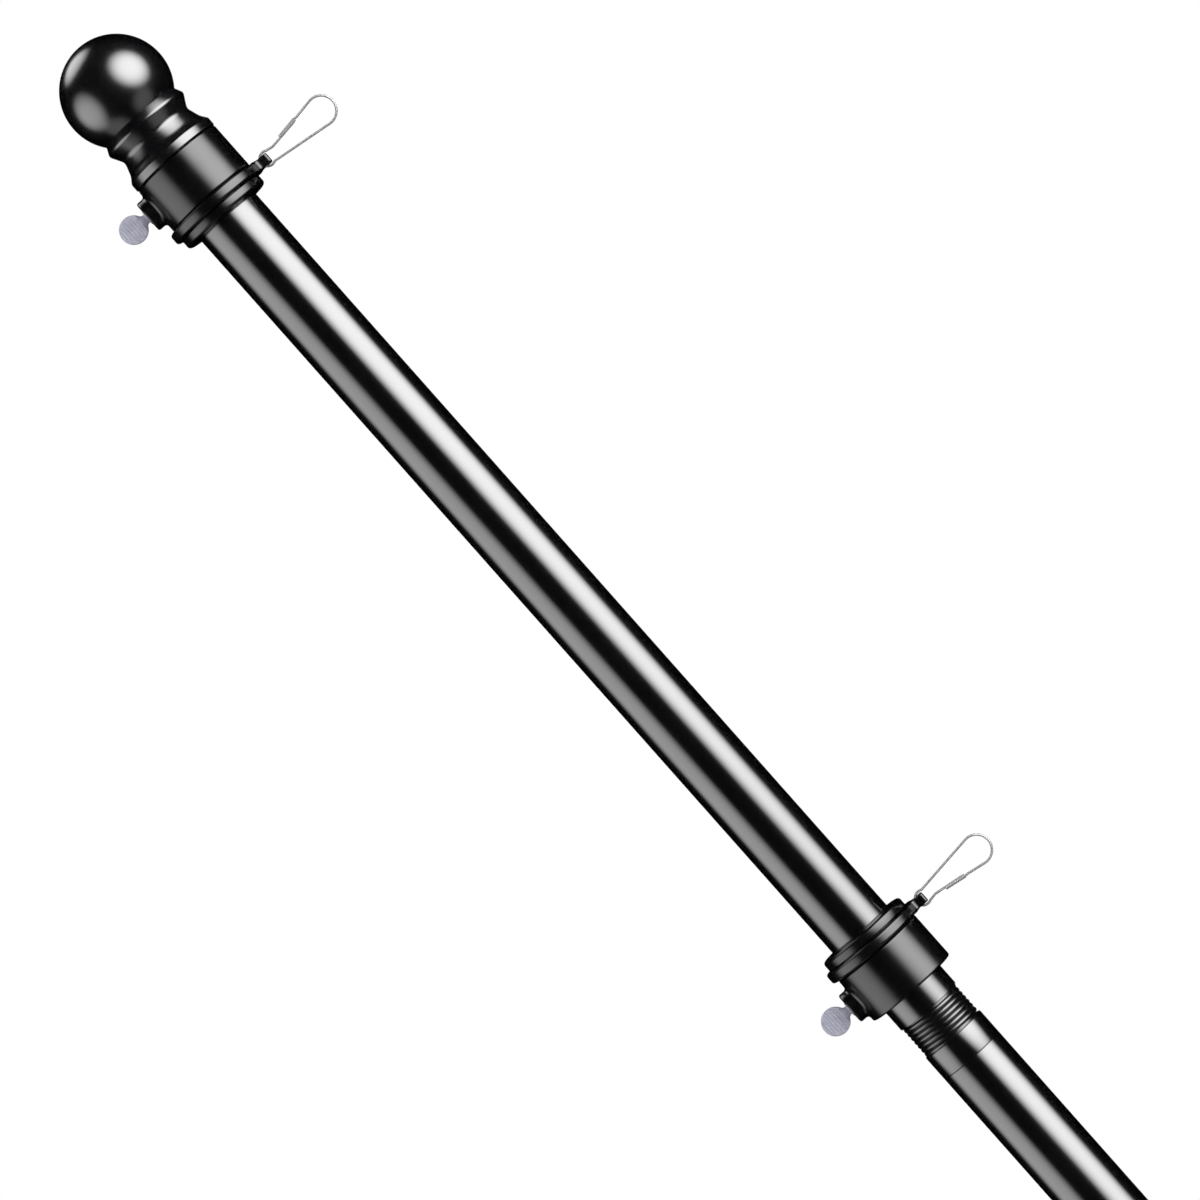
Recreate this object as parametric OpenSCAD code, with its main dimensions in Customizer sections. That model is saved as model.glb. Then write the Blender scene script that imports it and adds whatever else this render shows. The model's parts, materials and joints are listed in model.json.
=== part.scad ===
// Wall-mounted flagpole: a four-section tube with a ball finial, two
// tangle-free rings with snap clips, and a cast three-position bracket.
// The wall is the plane Y = 0, +Z is up and the pole rises towards -Y.

/* [Pole] */
// Outer diameter of the tubes
pole_d = 25.4; // [25:0.1:25.6]
// Wall thickness of the tubes
tube_wall = 0.8; // [0.6:0.1:1.2]
// Length of one section, from collar to collar
section_len = 410.6; // [380:0.1:450]
// Screw thread left showing at each joint
thread_gap = 12.7; // [8:0.1:14]
// Outer diameter of the screw thread
thread_d = 24.7; // [24:0.1:24.9]
// Length of the plain collar that takes the thread
collar_len = 9.8; // [8:0.1:12]
// Number of thread crests that show
thread_crests = 7; // [5:1:9]

/* [Finial] */
// Diameter of the ball
ball_d = 40.4; // [38:0.1:42]
// Height of the finial, from its base to the top of the ball
finial_h = 51.5; // [51:0.1:53]

/* [Flag rings] */
// Diameter of the ring's sleeve and cap
ring_d = 35.4; // [35:0.1:36]
// Height of the sleeve
sleeve_h = 18.8; // [18:0.1:20]
// Outer diameter of the turning ring
swivel_d = 39.4; // [39:0.1:40]
// Thickness of the turning ring
swivel_h = 4; // [3.8:0.1:4.2]
// Height of the cap
cap_h = 3.6; // [3:0.1:4]
// Distance from the pole's axis to the tip of the ring's arm
arm_reach = 24.8; // [24.6:0.1:25.2]
// Length of the snap clip, from its pivot to its far end
clip_len = 31; // [29:0.5:33]
// Thickness of the clip's wire
wire_d = 0.9; // [0.8:0.1:1]
// Distance from the pole's top down to the lower ring's foot
lower_ring_drop = 389; // [386:0.5:392]

/* [Bracket] */
// Diameter of the three sockets
socket_d = 26.2; // [26:0.1:26.4]
// Thickness of the wall round a socket
socket_wall = 3.4; // [3:0.1:3.6]
// Depth of the level and the slanted socket, on the axis
socket_depth = 18; // [17:0.5:18]
// Distance from the wall to the point where the socket axes meet
hub_y = 24.5; // [24:0.1:26]
// Height of that point above the middle of the plate
hub_z = 3.8; // [3:0.1:5]
// Distance from that point to the sockets' shared front face
face_dist = 51.8; // [51.8:0.1:54]
// Upward tilt of the front face
face_tilt = 31.5; // [30:0.5:33]
// Thickness of the wall plate
plate_t = 5; // [4.5:0.1:6]
// Height of the wall plate
plate_h = 96; // [95:0.5:99]

/* [Hidden] */
$fn = 64;
gap = 0.05;
slide_gap = 0.08;
pole_r = pole_d / 2;
bore_r = pole_r - tube_wall;
spigot_r = 11;
crest_pitch = thread_gap / thread_crests;
crest_depth = 0.8;

// The pole stands on the floor of the slanted socket.
socket_r = socket_d / 2;
cup_r = socket_r + socket_wall;
upper_face = face_dist / cos(45 - face_tilt);
lower_face = face_dist / cos(face_tilt);
pole_foot = upper_face - socket_depth;
sections = 4;
pole_len = sections * section_len;
plug_lip = 3;

// Heights along the pole of the rings' outer ends.
upper_sleeve_top = pole_len - 0.3;
axial_gap = 0.3;
stack_h = sleeve_h + axial_gap + swivel_h + axial_gap + cap_h;
lower_sleeve_foot = pole_len - lower_ring_drop;
hub_r = 14.6;
screw_r = 3;
ring_boss_r = 6.1;
ring_boss_out = 3.6;
paddle_r = 5.5;
paddle_t = 3.2;

// The arm's eye: the clip's curl passes through it and turns about its rim.
arm_t = 3.7;
rim_t = 1.7;
eye_r = 1.5;
eye_x = arm_reach - rim_t - eye_r;
pivot_x = arm_reach - rim_t / 2;
curl_r = 2.75;
far_r = 5.4;
far_x = clip_len - far_r - wire_d / 2;
neck_turn = 60;
neck_run = 1.5;
neck_x = curl_r * cos(neck_turn) + neck_run * sin(neck_turn);
neck_y = curl_r * sin(neck_turn) - neck_run * cos(neck_turn);
leg_turn = asin(far_r / norm([far_x - neck_x, neck_y])) - atan2(neck_y, far_x - neck_x);
latch_at = 6.5;
latch_len = 6.5;
latch_size = 1.7;
wire_w = 1.3;

// Wing screws
screw_in = 8;
side_x = 16.2;
wing_boss_x = 19.5;
wing_boss_r = 6;
hub_h = 6.5;
wing_span = 12.5;
wing_t = 2.2;
wing_lobe_r = 3.2;
wing_rise = 9;
level_wing_turn = -51;
upright_wing_turn = 65;

// Wall plate and its screws
plate_half = plate_h / 2;
peak_r = 6;
ear_r = 6.5;
ear_x = 21.5;
ear_z = 33.5;
crown_r = 10;
waist_x = 24.5;
foot_r = 26;
peak_z = plate_half - peak_r;
ear_gap = norm([ear_x, peak_z - ear_z]);
crown_turn = acos((pow(peak_r + crown_r, 2) + pow(ear_gap, 2) - pow(ear_r + crown_r, 2))
    / (2 * (peak_r + crown_r) * ear_gap)) - atan2(peak_z - ear_z, ear_x);
crown_x = (peak_r + crown_r) * cos(crown_turn);
crown_z = peak_z + (peak_r + crown_r) * sin(crown_turn);
head_r = 4.5;
head_h = 2.8;
shank_r = 2.2;
top_screw = [23.3, 33];
low_screw = [15, -34.5];

// ---- Places ----

// Puts a piece at the point where the socket axes meet.
module at_hub() {
    translate([0, -hub_y, hub_z]) children();
}

// Turns a piece drawn along +Z onto the slanted axis.
module along_pole() {
    at_hub() rotate([45, 0, 0]) children();
}

// Turns a piece drawn along +Z onto the level axis.
module along_level() {
    at_hub() rotate([90, 0, 0]) children();
}

// Puts a piece on the pole at a height above its foot.
module on_pole(height) {
    along_pole() translate([0, 0, pole_foot + height]) children();
}

// The upper ring is fitted upside down, with its sleeve against the finial.
module at_upper_ring() {
    on_pole(upper_sleeve_top) mirror([0, 0, 1]) children();
}

// The lower ring stands the right way up.
module at_lower_ring() {
    on_pole(lower_sleeve_foot) children();
}

// ---- Bracket ----

module plate_outline() {
    tangent = peak_r * [cos(crown_turn), sin(crown_turn)];
    difference() {
        union() {
            translate([0, peak_z]) circle(peak_r);
            for (side = [-1, 1]) {
                translate([side * ear_x, ear_z]) circle(ear_r);
                polygon([
                    [0, peak_z], [side * tangent.x, peak_z + tangent.y],
                    [side * (ear_x - 2), ear_z + ear_r - 0.6], [side * ear_x, ear_z], [0, 0]
                ]);
            }
            polygon([
                [ear_x + ear_r, ear_z], [waist_x, 5], [waist_x, -plate_half + foot_r - 9],
                [-waist_x, -plate_half + foot_r - 9], [-waist_x, 5], [-ear_x - ear_r, ear_z]
            ]);
            intersection() {
                translate([0, foot_r - plate_half]) circle(foot_r);
                translate([-waist_x, -plate_half]) square([2 * waist_x, foot_r]);
            }
        }
        for (side = [-1, 1]) {
            translate([side * crown_x, crown_z]) circle(crown_r);
        }
    }
}

// Side view of the neck: level along its top, arched and then sloped below.
module neck_outline() {
    polygon([
        [-hub_y, 22], [-15, 15], [-2, 14.5], [7, 18], [12.5, 25], [13.3, 35.5], [19, 43],
        [52, 20], [52, -8], [44, -11.5], [35, -8.5], [22, -8.5], [10, -16.5], [-hub_y, -36]
    ]);
}

module neck() {
    translate([-side_x, 0, 0]) rotate([90, 0, 90])
        linear_extrude(2 * side_x) mirror([1, 0, 0]) neck_outline();
}

// Two short cups joined into one flat-sided head.
module fork_head() {
    hull($fn = 32) {
        rotate([45, 0, 0]) translate([0, 0, upper_face - 10]) cylinder(r = cup_r, h = 23, $fn = 48);
        rotate([90, 0, 0]) translate([0, 0, lower_face - 13]) cylinder(r = cup_r, h = 26, $fn = 48);
    }
}

module window_outline() {
    corners = [[30, 15], [36, 7], [23.5, 7.5]];
    hull() {
        for (corner = corners) {
            translate(corner) circle(1.6, $fn = 24);
        }
    }
}

// A round boss on the casting's right side, for a wing screw.
module wing_boss() {
    rotate([0, 90, 0]) translate([0, 0, side_x - 4]) cylinder(r = wing_boss_r, h = wing_boss_x - side_x + 4);
}

module wing_hole() {
    rotate([0, 90, 0]) cylinder(r = screw_r + gap, h = 40);
}

module bracket_casting() {
    color("#26272a") difference() {
        union() {
            rotate([90, 0, 0]) linear_extrude(plate_t) plate_outline();
            at_hub() difference() {
                union() {
                    neck();
                    fork_head();
                    rotate([45, 0, 0]) translate([0, 0, upper_face - screw_in]) wing_boss();
                    rotate([90, 0, 0]) translate([0, 0, lower_face - screw_in]) wing_boss();
                    wing_boss();
                }
                translate([-50, hub_y - 1, -100]) cube([100, 50, 200]);
            }
        }
        at_hub() {
            rotate([90 - face_tilt, 0, 0]) translate([-60, -80, face_dist]) cube([120, 160, 60]);
            rotate([45, 0, 0]) translate([0, 0, pole_foot]) cylinder(r = socket_r, h = 60);
            rotate([90, 0, 0]) translate([0, 0, lower_face - socket_depth]) cylinder(r = socket_r, h = 60);
            translate([0, 0, -60]) cylinder(r = socket_r, h = 160);
            rotate([45, 0, 0]) translate([0, 0, upper_face - screw_in]) wing_hole();
            rotate([90, 0, 0]) translate([0, 0, lower_face - screw_in]) wing_hole();
            wing_hole();
            rotate([90, 0, 90]) translate([0, 0, -30]) linear_extrude(60) mirror([1, 0, 0]) window_outline();
        }
        for (side = [-1, 1], place = [top_screw, low_screw]) {
            translate([side * place.x, 1, place.y]) rotate([90, 0, 0]) cylinder(r = shank_r, h = 40);
        }
    }
}

// Pan-head screw with a cross recess, drawn along +Z from the plate's front.
module wall_screw(place) {
    recess = 1.1;
    color("#c9cacb") translate([place.x, -plate_t, place.y]) rotate([90, 0, 0]) {
        difference() {
            union() {
                cylinder(r = head_r, h = head_h * 0.45);
                translate([0, 0, head_h * 0.45]) cylinder(r1 = head_r, r2 = head_r * 0.62, h = head_h * 0.55);
                translate([0, 0, -plate_t]) cylinder(r = shank_r - gap, h = plate_t);
            }
            for (turn = [0, 90]) {
                rotate(turn) translate([-2.6, -recess / 2, head_h - 1.3]) cube([5.2, recess, 4]);
            }
        }
    }
}

// Screw with a hub and two ears; its tip is at the origin side, head along +Z.
module wing_screw(tip) {
    color("#d4d5d6") {
        translate([0, 0, tip]) cylinder(r = screw_r, h = wing_boss_x + gap - tip + 1);
        translate([0, 0, wing_boss_x + 0.5]) cylinder(r1 = 4.8, r2 = 3.9, h = hub_h);
        for (side = [0, 180]) {
            rotate(side) hull() {
                translate([3, -wing_t / 2, wing_boss_x + 1.5]) cube([1, wing_t, 4.5]);
                translate([wing_span - wing_lobe_r, wing_t / 2, wing_boss_x + wing_rise]) rotate([90, 0, 0])
                    cylinder(r = wing_lobe_r, h = wing_t, $fn = 32);
            }
        }
    }
}

module wing_screw_slanted() {
    along_pole() translate([0, 0, upper_face - screw_in]) rotate([0, 90, 0]) wing_screw(pole_r + gap);
}

module wing_screw_level() {
    along_level() translate([0, 0, lower_face - screw_in]) rotate([0, 90, 0])
        rotate(level_wing_turn) wing_screw(socket_r + gap);
}

module wing_screw_upright() {
    at_hub() rotate([0, 90, 0]) rotate(upright_wing_turn) wing_screw(socket_r + gap);
}

// ---- Pole ----

module foot_plug() {
    color("#1b1b1c") on_pole(0) {
        cylinder(r = pole_r, h = plug_lip);
        translate([0, 0, plug_lip]) cylinder(r = bore_r, h = 14);
    }
}

module tube(index) {
    foot = index == 1 ? plug_lip : (index - 1) * section_len + thread_gap;
    head = index == sections ? pole_len : index * section_len - collar_len;
    color("#161617") on_pole(foot) difference() {
        cylinder(r = pole_r, h = head - foot);
        translate([0, 0, -1]) cylinder(r = bore_r, h = head - foot + 2);
    }
}

// Threaded socket pressed into the top of a tube; its collar shows.
module collar(index) {
    inside = 18;
    color("#19191a") on_pole(index * section_len - collar_len) difference() {
        union() {
            cylinder(r = pole_r, h = collar_len);
            translate([0, 0, -inside]) cylinder(r = bore_r - gap, h = inside + 1);
        }
        translate([0, 0, -inside - 1]) cylinder(r = spigot_r, h = inside + collar_len + 2);
    }
}

// One crest of the thread, drawn as a ring.
module thread_crest() {
    outer = thread_d / 2;
    rotate_extrude() polygon([
        [5, 0], [outer - crest_depth, 0], [outer, crest_pitch * 0.35],
        [outer, crest_pitch * 0.65], [outer - crest_depth, crest_pitch], [5, crest_pitch]
    ]);
}

// Threaded end of the tube above, part of it still out of the collar.
module thread_end(index) {
    inside = 18;
    color("#1d1d1e") on_pole(index * section_len) difference() {
        union() {
            for (crest = [0 : thread_crests - 1]) {
                translate([0, 0, crest * crest_pitch]) thread_crest();
            }
            translate([0, 0, -inside]) cylinder(r = spigot_r - gap, h = inside + crest_pitch);
            translate([0, 0, thread_gap - crest_pitch / 4]) cylinder(r = bore_r - gap, h = inside);
        }
        translate([0, 0, -inside - 1]) cylinder(r = spigot_r - 2, h = 2 * inside + thread_gap + 2);
    }
}

// Ball on a turned neck, with a spigot that fills the end of the tube.
module finial() {
    ball_r = ball_d / 2;
    ball_z = finial_h - ball_r;
    base_r = ball_r * 0.885;
    color("#141415") on_pole(pole_len) {
        translate([0, 0, ball_z]) sphere(ball_r);
        rotate_extrude() polygon([
            [0, 0], [base_r, 0], [base_r, 2.6], [base_r - 0.7, 3.4], [15.2, 9.2],
            [ball_r * 0.72, 11.4], [15.6, 13.4], [ball_r * 0.845, 15.8], [ball_r * 0.84, 16.6],
            [ball_r * 0.785, 18], [ball_r * 0.785, 20], [0, 20]
        ]);
        translate([0, 0, -16]) cylinder(r = bore_r, h = 16);
    }
}

// ---- Flag rings, drawn standing on z = 0 with the arm towards +Y ----

module sleeve() {
    color("#1a1a1b") difference() {
        union() {
            cylinder(d = ring_d, h = sleeve_h);
            cylinder(r = hub_r, h = sleeve_h + axial_gap + swivel_h + axial_gap);
            translate([0, 0, sleeve_h * 0.47]) rotate([90, 0, 0])
                cylinder(r = ring_boss_r, h = ring_d / 2 + ring_boss_out);
        }
        translate([0, 0, -1]) cylinder(r = pole_r + slide_gap, h = stack_h + 2);
        translate([0, 0, sleeve_h * 0.47]) rotate([90, 0, 0]) cylinder(r = screw_r + gap, h = 60);
    }
}

module swivel() {
    color("#18181a") translate([0, 0, sleeve_h + axial_gap]) difference() {
        union() {
            cylinder(d = swivel_d, h = swivel_h);
            translate([0, 0, (swivel_h - arm_t) / 2]) {
                translate([0, eye_x, 0]) cylinder(r = rim_t + eye_r, h = arm_t);
                translate([-rim_t - eye_r, 15, 0]) cube([2 * (rim_t + eye_r), eye_x - 15, arm_t]);
            }
        }
        translate([0, 0, -1]) cylinder(r = hub_r + gap, h = swivel_h + 2);
        translate([0, eye_x, -1]) cylinder(r = eye_r, h = swivel_h + 2);
    }
}

module cap() {
    color("#1c1c1d") translate([0, 0, stack_h - cap_h]) difference() {
        cylinder(d = ring_d, h = cap_h);
        translate([0, 0, -1]) cylinder(r = pole_r + slide_gap, h = cap_h + 2);
    }
}

// Paddle-headed screw that clamps the sleeve to the pole.
module thumb_screw() {
    boss_face = ring_d / 2 + ring_boss_out;
    centre = boss_face + 0.3 + paddle_r;
    color("#a9a9b5") translate([0, 0, sleeve_h * 0.47]) rotate([90, 0, 0]) {
        translate([0, 0, pole_r + slide_gap]) cylinder(r = screw_r, h = centre - pole_r - slide_gap);
        translate([-paddle_t / 2, 0, centre]) rotate([0, 90, 0]) cylinder(r = paddle_r, h = paddle_t);
    }
}

// One cross-section of the clip's flattened wire: place, heading and size.
function wire_ring(at) = [
    for (corner = [22.5 : 45 : 360])
        let (across = at[3] * wire_d / 2 * cos(corner))
        [at.x - sin(at.z) * across, at.y + cos(at.z) * across, at[3] * wire_w / 2 * sin(corner)]
];

function arc_rings(centre, radius, start, end, steps) = [
    for (step = [0 : steps])
        let (turn = start + (end - start) * step / steps)
        [centre + radius * cos(turn), radius * sin(turn), turn + 90, 1]
];

// Place on the straight leg that carries the latch, at a distance from the neck.
function leg_ring(along, size) = [
    neck_x + along * cos(leg_turn), -neck_y - along * sin(leg_turn), -leg_turn, size
];

clip_path = concat(
    arc_rings(0, curl_r, neck_turn, 360 - neck_turn, 20),
    [[neck_x, -neck_y, (90 - neck_turn - leg_turn) / 2, 1]],
    [leg_ring(latch_at, 1), leg_ring(latch_at + 0.2, latch_size)],
    [leg_ring(latch_at + latch_len, latch_size), leg_ring(latch_at + latch_len + 0.2, 1)],
    arc_rings(far_x, far_r, -90 - leg_turn, 90 + leg_turn, 20),
    [[neck_x, neck_y, (270 + leg_turn + neck_turn) / 2, 1]]
);

// Snap clip: a closed teardrop of spring wire lying in its own XY plane.
module clip_wire() {
    sides = 8;
    rings = len(clip_path);
    polyhedron(
        points = [for (at = clip_path) each wire_ring(at)],
        faces = [
            for (ring = [0 : rings - 1], side = [0 : sides - 1])
                let (next = (ring + 1) % rings, beside = (side + 1) % sides)
                [ring * sides + side, ring * sides + beside, next * sides + beside, next * sides + side]
        ]
    );
}

module clip() {
    color("#d9dadb") translate([0, pivot_x, sleeve_h + axial_gap + swivel_h / 2])
        rotate([0, 0, 90]) rotate([90, 0, 0]) clip_wire();
}

bracket_casting();
wall_screw([-top_screw.x, top_screw.y]);  // wall_screw_top_left
wall_screw(top_screw);  // wall_screw_top_right
wall_screw([-low_screw.x, low_screw.y]);  // wall_screw_low_left
wall_screw(low_screw);  // wall_screw_low_right
wing_screw_slanted();
wing_screw_level();
wing_screw_upright();
foot_plug();
tube(1);  // tube_1
tube(2);  // tube_2
tube(3);  // tube_3
tube(4);  // tube_4
collar(1);  // collar_1
collar(2);  // collar_2
collar(3);  // collar_3
thread_end(1);  // thread_1
thread_end(2);  // thread_2
thread_end(3);  // thread_3
finial();
at_upper_ring() sleeve();  // upper_sleeve
at_upper_ring() swivel();  // upper_swivel
at_upper_ring() cap();  // upper_cap
at_upper_ring() clip();  // upper_clip
at_upper_ring() thumb_screw();  // upper_thumb_screw
at_lower_ring() sleeve();  // lower_sleeve
at_lower_ring() swivel();  // lower_swivel
at_lower_ring() cap();  // lower_cap
at_lower_ring() clip();  // lower_clip
at_lower_ring() thumb_screw();  // lower_thumb_screw
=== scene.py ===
import json
import math

import bmesh
import bpy
import numpy as np
from mathutils import Matrix, Vector


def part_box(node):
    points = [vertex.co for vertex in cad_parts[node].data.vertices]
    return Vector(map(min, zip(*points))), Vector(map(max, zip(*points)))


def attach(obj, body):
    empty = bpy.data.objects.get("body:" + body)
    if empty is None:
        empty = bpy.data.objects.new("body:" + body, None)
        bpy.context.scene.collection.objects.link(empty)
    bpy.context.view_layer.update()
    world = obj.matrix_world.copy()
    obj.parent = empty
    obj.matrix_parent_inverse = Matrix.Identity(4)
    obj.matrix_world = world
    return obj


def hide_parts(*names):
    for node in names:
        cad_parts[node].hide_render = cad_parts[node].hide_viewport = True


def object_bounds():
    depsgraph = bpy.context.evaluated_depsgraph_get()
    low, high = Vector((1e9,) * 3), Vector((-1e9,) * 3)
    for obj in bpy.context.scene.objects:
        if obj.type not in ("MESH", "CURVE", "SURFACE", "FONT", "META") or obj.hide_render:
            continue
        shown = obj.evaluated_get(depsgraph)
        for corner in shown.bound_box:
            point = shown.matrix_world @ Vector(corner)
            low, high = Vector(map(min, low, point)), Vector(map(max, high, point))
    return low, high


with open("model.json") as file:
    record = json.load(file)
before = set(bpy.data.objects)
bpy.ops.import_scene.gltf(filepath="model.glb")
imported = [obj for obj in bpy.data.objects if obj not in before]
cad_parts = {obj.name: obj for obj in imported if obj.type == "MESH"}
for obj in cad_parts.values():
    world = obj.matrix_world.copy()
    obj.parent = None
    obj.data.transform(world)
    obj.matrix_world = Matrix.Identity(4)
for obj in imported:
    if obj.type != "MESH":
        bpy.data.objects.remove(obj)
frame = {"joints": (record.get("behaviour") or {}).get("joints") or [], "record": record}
cad_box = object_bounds()


# ---- The view ----
# The pole leans out of the bracket at 45 degrees. It is seen square from its right side, near its upper
# end, with the ball in the upper left corner and the pole leaving through the lower right one.

MM = 0.001
mounts = {mount["name"]: mount for mount in frame["record"]["mounts"]}
joints = {joint["name"]: joint for joint in frame["joints"]}
hub = Vector(mounts["upright_socket"]["pos_m"])
pole_up = Vector(joints["upper_ring_slide"]["axis"])
lean = Matrix.Translation(hub) @ Matrix.Rotation(math.radians(45), 4, "X") @ Matrix.Scale(MM, 4)


def reach(node, radius):
    """Where a round piece starts and ends along the pole, in millimetres from the socket's centre."""
    low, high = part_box(node)
    stretch = math.sqrt(2) / MM
    return (low.z - hub.z) * stretch + radius, (high.z - hub.z) * stretch - radius


def along_pole(name):
    """How far along the pole a joint's place is, in millimetres."""
    return (Vector(joints[name]["pos_m"]) - hub).dot(pole_up) / MM


pole_radius = 12.7
pole_top = reach("tube_4", pole_radius)[1]
ball_height = 31.3
view_roll = math.radians(3.43)
view_width = 0.4209
aim_across, aim_down = 0.1695, 0.1784
lens, sensor = 200, 36
across = Vector((0, math.cos(view_roll), math.sin(view_roll)))
upwards = Vector((0, -math.sin(view_roll), math.cos(view_roll)))
aim = lean @ Vector((0, 0, pole_top + ball_height)) + across * aim_across - upwards * aim_down
camera_data = bpy.data.cameras.new("camera")
camera_data.lens = lens
camera_data.clip_end = 100
camera = bpy.data.objects.new("camera", camera_data)
bpy.context.scene.collection.objects.link(camera)
facing = Matrix((across, upwards, across.cross(upwards))).transposed().to_4x4()
camera.matrix_world = Matrix.Translation(aim + Vector((1, 0, 0)) * view_width * lens / sensor) @ facing
bpy.context.scene.camera = camera


# ---- Studio ----
# A pale floor, plain soft lamps, and a black tent with round soft boxes that only reflections see,
# which is how gloss black goods are lit: each soft box draws one soft band along a tube.

def linear(code):
    """An sRGB hex colour as linear RGBA."""
    values = [int(code[place:place + 2], 16) / 255 for place in (1, 3, 5)]
    return [v / 12.92 if v <= 0.04045 else ((v + 0.055) / 1.055) ** 2.4 for v in values] + [1.0]


def add(tree, kind, inputs=None, **settings):
    """Adds a node, applies its settings, and sets or links its inputs."""
    node = tree.nodes.new(kind)
    for key, value in settings.items():
        setattr(node, key, value)
    for key, value in (inputs or {}).items():
        if isinstance(value, bpy.types.NodeSocket):
            tree.links.new(value, node.inputs[key])
        else:
            node.inputs[key].default_value = value
    return node


def blank_material(name):
    """A material with nothing in it but its output."""
    material = bpy.data.materials.new(name)
    material.use_nodes = True
    material.node_tree.nodes.clear()
    return material, material.node_tree


scene = bpy.context.scene
scene.view_settings.view_transform = "Standard"

world = bpy.data.worlds.new("studio_air")
scene.world = world
world.use_nodes = True
tree = world.node_tree
tree.nodes.clear()
path = add(tree, "ShaderNodeLightPath")
seen = add(tree, "ShaderNodeMath", {0: path.outputs["Is Camera Ray"], 1: path.outputs["Is Glossy Ray"]},
           operation="ADD")
seen = add(tree, "ShaderNodeMath", {0: seen.outputs[0], 1: path.outputs["Is Transmission Ray"]},
           operation="ADD", use_clamp=True)
fill_light = add(tree, "ShaderNodeBackground", {"Color": linear("#ffffff"), "Strength": 0.42})
backdrop = add(tree, "ShaderNodeBackground", {"Color": linear("#ffffff"), "Strength": 1.0})
mixed = add(tree, "ShaderNodeMixShader", {
    0: seen.outputs[0], 1: fill_light.outputs[0], 2: backdrop.outputs[0]})
add(tree, "ShaderNodeOutputWorld", {"Surface": mixed.outputs[0]})


def stage_mesh(name, build, material):
    """A piece of the studio, made by one bmesh call."""
    mesh = bpy.data.meshes.new(name)
    work = bmesh.new()
    build(work)
    work.to_mesh(mesh)
    work.free()
    piece = bpy.data.objects.new(name, mesh)
    piece.data.materials.append(material)
    scene.collection.objects.link(piece)
    return piece


# The floor fades to plain white with distance, so that no horizon shows.
floor_drop = 0.03
floor_radius = 12
fade_start, fade_end = 1.4, 3.4
material, tree = blank_material("matt_white_floor_paper")
place = add(tree, "ShaderNodeTexCoord")
distance = add(tree, "ShaderNodeVectorMath", {0: place.outputs["Object"]}, operation="LENGTH")
fade = add(tree, "ShaderNodeMapRange", {
    "Value": distance.outputs["Value"], "From Min": fade_start, "From Max": fade_end},
    interpolation_type="SMOOTHSTEP")
paper = add(tree, "ShaderNodeBsdfDiffuse", {"Color": linear("#f4f4f4")})
glow = add(tree, "ShaderNodeEmission", {"Color": linear("#ffffff"), "Strength": 1.0})
mixed = add(tree, "ShaderNodeMixShader", {0: fade.outputs[0], 1: paper.outputs[0], 2: glow.outputs[0]})
add(tree, "ShaderNodeOutputMaterial", {"Surface": mixed.outputs[0]})
floor = stage_mesh("floor", lambda work: bmesh.ops.create_circle(
    work, cap_ends=True, segments=96, radius=floor_radius), material)
floor.location = (0, -0.5, cad_box[0][2] - floor_drop)
floor.visible_glossy = False

# Each soft box: the way to it, its strength, and the angles where its glow is full and where it ends.
soft_boxes = [
    (Vector((0.58, 0.36, 0.73)), 8.8, 2, 44),
    (Vector((0.26, -0.72, -0.65)), 2.6, 1, 40),
    (Vector((-0.36, -0.82, 0.45)), 3.0, 4, 24),
    (Vector((0.47, 0.86, -0.20)), 0.6, 2, 30),
    (Vector((0.17, 0.08, -0.98)), 0.6, 2, 30),
]
material, tree = blank_material("black_tent_with_soft_boxes")
place = add(tree, "ShaderNodeTexCoord")
way = add(tree, "ShaderNodeVectorMath", {0: place.outputs["Object"]}, operation="NORMALIZE")
total = None
for direction, strength, full, end in soft_boxes:
    facing_it = add(tree, "ShaderNodeVectorMath", {0: way.outputs[0], 1: direction.normalized()},
                    operation="DOT_PRODUCT")
    box_glow = add(tree, "ShaderNodeMapRange", {
        "Value": facing_it.outputs["Value"], "From Min": math.cos(math.radians(end)),
        "From Max": math.cos(math.radians(full)), "To Max": strength}, interpolation_type="SMOOTHSTEP")
    if total is None:
        total = box_glow
    else:
        total = add(tree, "ShaderNodeMath", {0: total.outputs[0], 1: box_glow.outputs[0]}, operation="ADD")
light = add(tree, "ShaderNodeEmission", {"Color": linear("#ffffff"), "Strength": total.outputs[0]})
add(tree, "ShaderNodeOutputMaterial", {"Surface": light.outputs[0]})
material.cycles.emission_sampling = "NONE"
tent_radius = 20
pole_middle = Vector((0, -0.6, 0.6))
tent = stage_mesh("tent", lambda work: bmesh.ops.create_icosphere(
    work, subdivisions=4, radius=tent_radius), material)
tent.location = pole_middle
for ray in ("camera", "diffuse", "transmission", "volume_scatter", "shadow"):
    setattr(tent, "visible_" + ray, False)

for name, place, power, size in (
    ("key_lamp", (2.2, -0.2, 3.0), 75, 1.6),
    ("left_lamp", (0.6, -3.4, 1.6), 35, 1.8),
    ("back_lamp", (-2.4, 1.6, 2.2), 35, 1.8),
):
    lamp_data = bpy.data.lights.new(name, "AREA")
    lamp_data.energy = power
    lamp_data.size = size
    lamp = bpy.data.objects.new(name, lamp_data)
    scene.collection.objects.link(lamp)
    lamp.location = place
    lamp.rotation_euler = (Vector(place) - pole_middle).to_track_quat("Z", "Y").to_euler()
    lamp.visible_glossy = False
    lamp.visible_camera = False


# ---- Pole sections ----
# Four straight steel tubes, cut to length with their rims rolled smooth and coated in gloss black lacquer.
# The lower three end in a collar, pressed in so that only a hairline shows where it meets the tube.

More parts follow.
